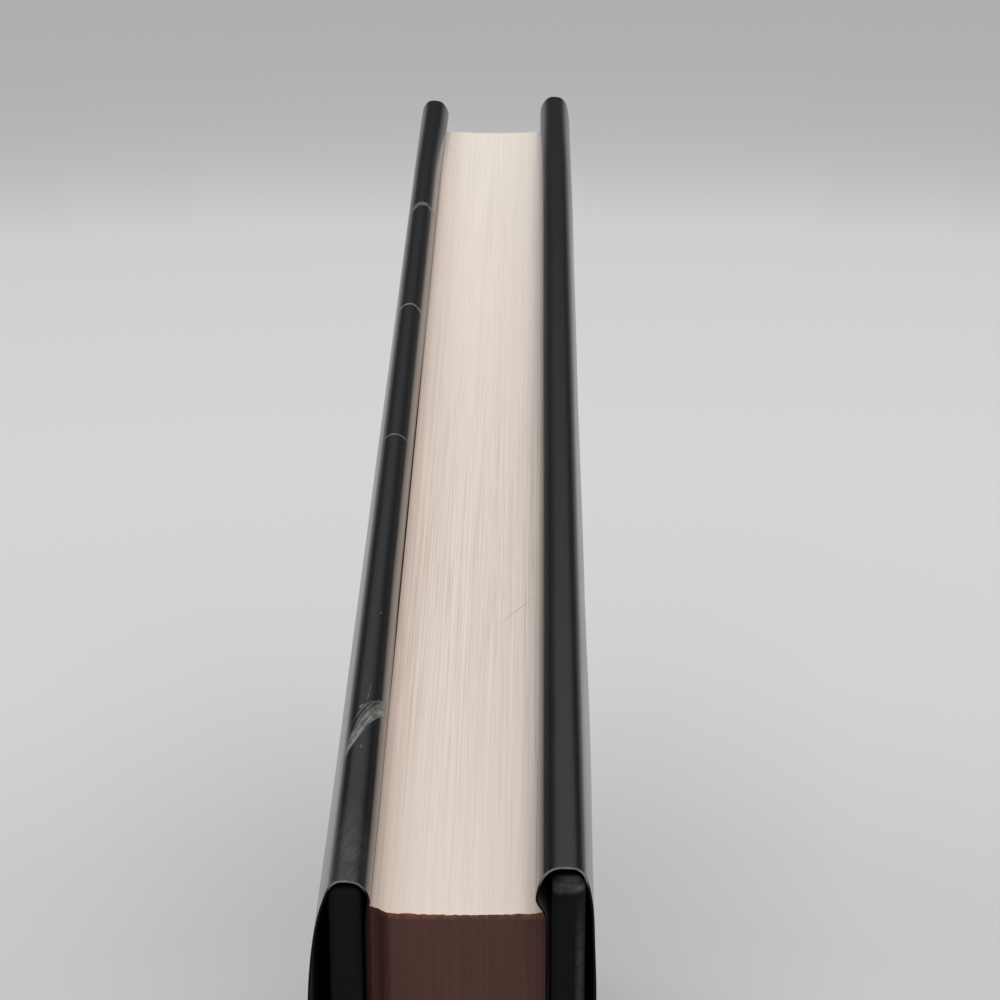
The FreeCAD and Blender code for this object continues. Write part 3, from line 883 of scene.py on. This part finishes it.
blockShape = {
    "leafGroups": 130,
    "lengthCuts": 46,
    "heightCuts": 24,
    "hollow": 0.25 * mm,
    "leafStep": 0.05 * mm,
    "sectionStep": 0.05 * mm,
    "drifts": (0.37, 0.173),  # turn of two slow waves over the sections, from a leaf group to the next
    "waveLength": 17 * mm,    # the leaves also wave a little along the fore-edge
    "waveTurn": 0.6,
    "waveShare": 0.4,
    "cornerPull": 0.9 * mm,   # the leaves nearest the back are set back at the head
    "cornerWidth": 1.6 * mm,
    "footRise": 1.1 * mm,     # the block was trimmed a little out of square, wider at the foot
    "headNormal": -0.4,       # faces that look this much towards the head are stained
    "smoothDegrees": 30,
}


def dividedBlock(name, node, cuts):  # a block of a node's size, divided along each axis
    low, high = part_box(node)
    clearSelection()
    bpy.ops.mesh.primitive_cube_add(size=1, location=(low + high) / 2, scale=high - low)
    piece = nameNew(name)
    bpy.ops.object.transform_apply(location=True, scale=True)
    for axis, number in enumerate(cuts):
        if number:
            selectParts(piece, "EDGE", runsAlong(piece, axis))
            bpy.ops.mesh.subdivide(number_cuts=number)
            bpy.ops.object.mode_set(mode="OBJECT")
    return piece


def upTheBlock(place):  # 0 at the spine, 1 at the fore-edge
    low, high = blockBox
    return (place.z - low.z) / (high.z - low.z)


def outOfSquare(place):
    low, high = blockBox
    toFoot = (place.y - low.y) / (high.y - low.y)
    place.z += blockShape["footRise"] * toFoot * upTheBlock(place)
    return place


def pageBlock():
    shape = blockShape
    low, high = blockBox
    piece = dividedBlock("pageBlock", "text_block",
                         (shape["leafGroups"] - 1, shape["lengthCuts"], shape["heightCuts"]))
    pitch = (high.x - low.x) / shape["leafGroups"]
    slow, slower = shape["drifts"]
    share = shape["waveShare"]
    steps = {}
    for group in range(shape["leafGroups"] + 1):
        drift = math.sin(group * slow) + math.sin(group * slower + 1.0)
        level = shape["sectionStep"] * (1 + 0.5 * drift) / 2
        steps[group] = [shape["leafStep"] * random.random() + level for edge in range(3)]

    def settle(place):
        group = round((place.x - low.x) / pitch)
        foreEdge, head, foot = steps[group]
        corner = ease(low.x + shape["cornerWidth"] - place.x, 0, shape["cornerWidth"])
        toTop = upTheBlock(place)
        if place.z > high.z - tiny:
            across = (place.x - pagesX) / (high.x - pagesX)
            wave = 0.5 + 0.5 * math.sin(place.y / shape["waveLength"] + group * shape["waveTurn"])
            place.z -= shape["hollow"] * (1 - across * across) + foreEdge * (1 - share + share * wave)
        if place.y < low.y + tiny:
            place.y += head + shape["cornerPull"] * corner * toTop
        elif place.y > high.y - tiny:
            place.y -= foot
        return outOfSquare(place)

    reshape(piece, settle)
    finishShape(piece, shape["smoothDegrees"])
    dress(piece, "pages", "pageHeads")
    selectParts(piece, "FACE", lambda face: face.normal.y < shape["headNormal"])
    piece.active_material_index = 1
    bpy.ops.object.material_slot_assign()
    bpy.ops.object.mode_set(mode="OBJECT")
    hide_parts("text_block")
    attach(piece, "book")


def freeEndpaper(side):  # a leaf that was trimmed with the pages
    shape = blockShape
    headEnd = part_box(side + "_free_endpaper")[0].y
    piece = dividedBlock("freeEndpaper_" + side, side + "_free_endpaper",
                         (0, shape["lengthCuts"], shape["heightCuts"]))

    def trim(place):
        if side == "back" and place.y < headEnd + tiny:
            place.y += shape["cornerPull"] * upTheBlock(place)
        return outOfSquare(place)

    reshape(piece, trim)
    finishShape(piece, shape["smoothDegrees"])
    dress(piece, "endpaper")
    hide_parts(side + "_free_endpaper")
    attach(piece, "book")


pageBlock()
print("page block made")
for side, sign in (("front", 1), ("back", -1)):
    freeEndpaper(side)
    coverCloth(side, sign)
    clothJoint(side, sign)
    endpaperJoint(side, sign)
    dustJacket(side, sign)
    print(side, "cover made")


nodeMaterials = {
    "headband": "band", "tailband": "band", "spine_mull": "mull", "spine_lining": "lining",
    "spine_inlay": "board", "spine_cloth": "cloth", "jacket_spine": "jacket",
    "front_board": "board", "back_board": "board",
    "front_pastedown": "pastedown", "back_pastedown": "pastedown",
}
for node, name in nodeMaterials.items():
    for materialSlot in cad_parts[node].material_slots:
        materialSlot.link = "OBJECT"
        materialSlot.material = materials[name]
print("frame pieces dressed:", len(nodeMaterials))


# floor, light and camera

floorLook = {
    "size": 60.0,
    "tones": [  # distance from the middle of the book in metres, and tone, with painted shade and light
        (0.10, "#D7D7D4"), (0.14, "#CFCECC"), (0.17, "#CFCECC"), (0.24, "#D7D6D5"), (0.36, "#DBDBDB"),
        (0.465, "#DADADA"), (0.535, "#D8D8D9"), (0.565, "#D0D0D2"), (0.60, "#C7C7C9"), (0.645, "#C1C1C3"),
        (0.72, "#BDBDBE"),
    ],
}


def floorWithPaintedShade():  # matt painted board: dull and pale, with painted shade and light in rings of tone round the book, as in the photo
    clearSelection()
    bpy.ops.mesh.primitive_plane_add(size=floorLook["size"], location=(0, 0, 0))
    piece = nameNew("floor")
    material, tree, place = newMaterial("floorWithPaintedShade")
    first, last = floorLook["tones"][0][0], floorLook["tones"][-1][0]
    distance = addNode(tree, "VectorMath", [place], operation="LENGTH")
    along = addNode(tree, "MapRange", {"Value": distance, "From Min": first, "From Max": last})
    stops = [((metres - first) / (last - first), linear(tone)) for metres, tone in floorLook["tones"]]
    colour = addNode(tree, "ValToRGB", {"Fac": along}, stops=stops)
    shader = addNode(tree, "BsdfPrincipled", {"Base Color": colour, "Roughness": 0.8,
                                              "Specular IOR Level": 0.1})
    addNode(tree, "OutputMaterial", {"Surface": shader})
    piece.data.materials.append(material)


lightLook = {
    # sine of the height above the horizon, and tone: a pale sweep, a dim room, softboxes overhead
    "surroundings": [
        (0.0, "#7C7C7E"), (0.07, "#68686A"), (0.15, "#4A4A4D"), (0.29, "#48494D"), (0.36, "#66676A"),
        (0.42, "#959699"), (0.52, "#D1D1D3"), (1.0, "#DFDFE0"),
    ],
    "keyPower": 30.0,
    "keySize": 1.5,
    "keyPlace": (0.1, -1.05, 2.0),
    "keyAim": (0.0, 0.0, 0.1),
}


def studioLight():
    look = lightLook
    world = bpy.data.worlds.new("studio")
    bpy.context.scene.world = world
    world.use_nodes = True
    tree = world.node_tree
    tree.nodes.clear()
    direction = addNode(tree, "TexCoord", {}).outputs["Generated"]
    height = addNode(tree, "SeparateXYZ", {"Vector": direction}).outputs["Z"]
    tones = [(sine, linear(tone)) for sine, tone in look["surroundings"]]
    colour = addNode(tree, "ValToRGB", {"Fac": height}, stops=tones)
    sky = addNode(tree, "Background", {"Color": colour})
    addNode(tree, "OutputWorld", {"Surface": sky})
    clearSelection()
    bpy.ops.object.light_add(type="AREA", location=look["keyPlace"])
    lamp = bpy.context.active_object
    lamp.name = "softbox"
    lamp.data.energy = look["keyPower"]
    lamp.data.size = look["keySize"]
    aim = Vector(look["keyAim"]) - Vector(look["keyPlace"])
    lamp.rotation_euler = aim.to_track_quat("-Z", "Y").to_euler()


cameraLook = {
    "place": (7.21 * mm, -343.65 * mm, 295.54 * mm),
    "turn": 0.762,        # degrees to the left of the spine's own direction
    "down": 23.83,
    "roll": -0.115,
    "focalPixels": 3051,  # in a picture 1000 pixels wide
    "picturePixels": 1000,
    "sensorWidth": 36,
    "nearest": 0.01,      # metres
    "furthest": 50,
}


def photoCamera():
    look = cameraLook
    clearSelection()
    bpy.ops.object.camera_add(location=look["place"])
    camera = bpy.context.active_object
    turn = Matrix.Rotation(math.radians(look["turn"]), 3, "Z")
    tilt = Matrix.Rotation(math.radians(90 - look["down"]), 3, "X")
    roll = Matrix.Rotation(math.radians(look["roll"]), 3, "Z")
    camera.rotation_euler = (turn @ tilt @ roll).to_euler()
    camera.data.sensor_width = look["sensorWidth"]
    camera.data.lens = look["sensorWidth"] * look["focalPixels"] / look["picturePixels"]
    camera.data.clip_start = look["nearest"]
    camera.data.clip_end = look["furthest"]
    bpy.context.scene.camera = camera


floorWithPaintedShade()
studioLight()
photoCamera()
bpy.context.scene.view_settings.view_transform = "Standard"
print("floor, light and camera set")

bpy.context.view_layer.update()
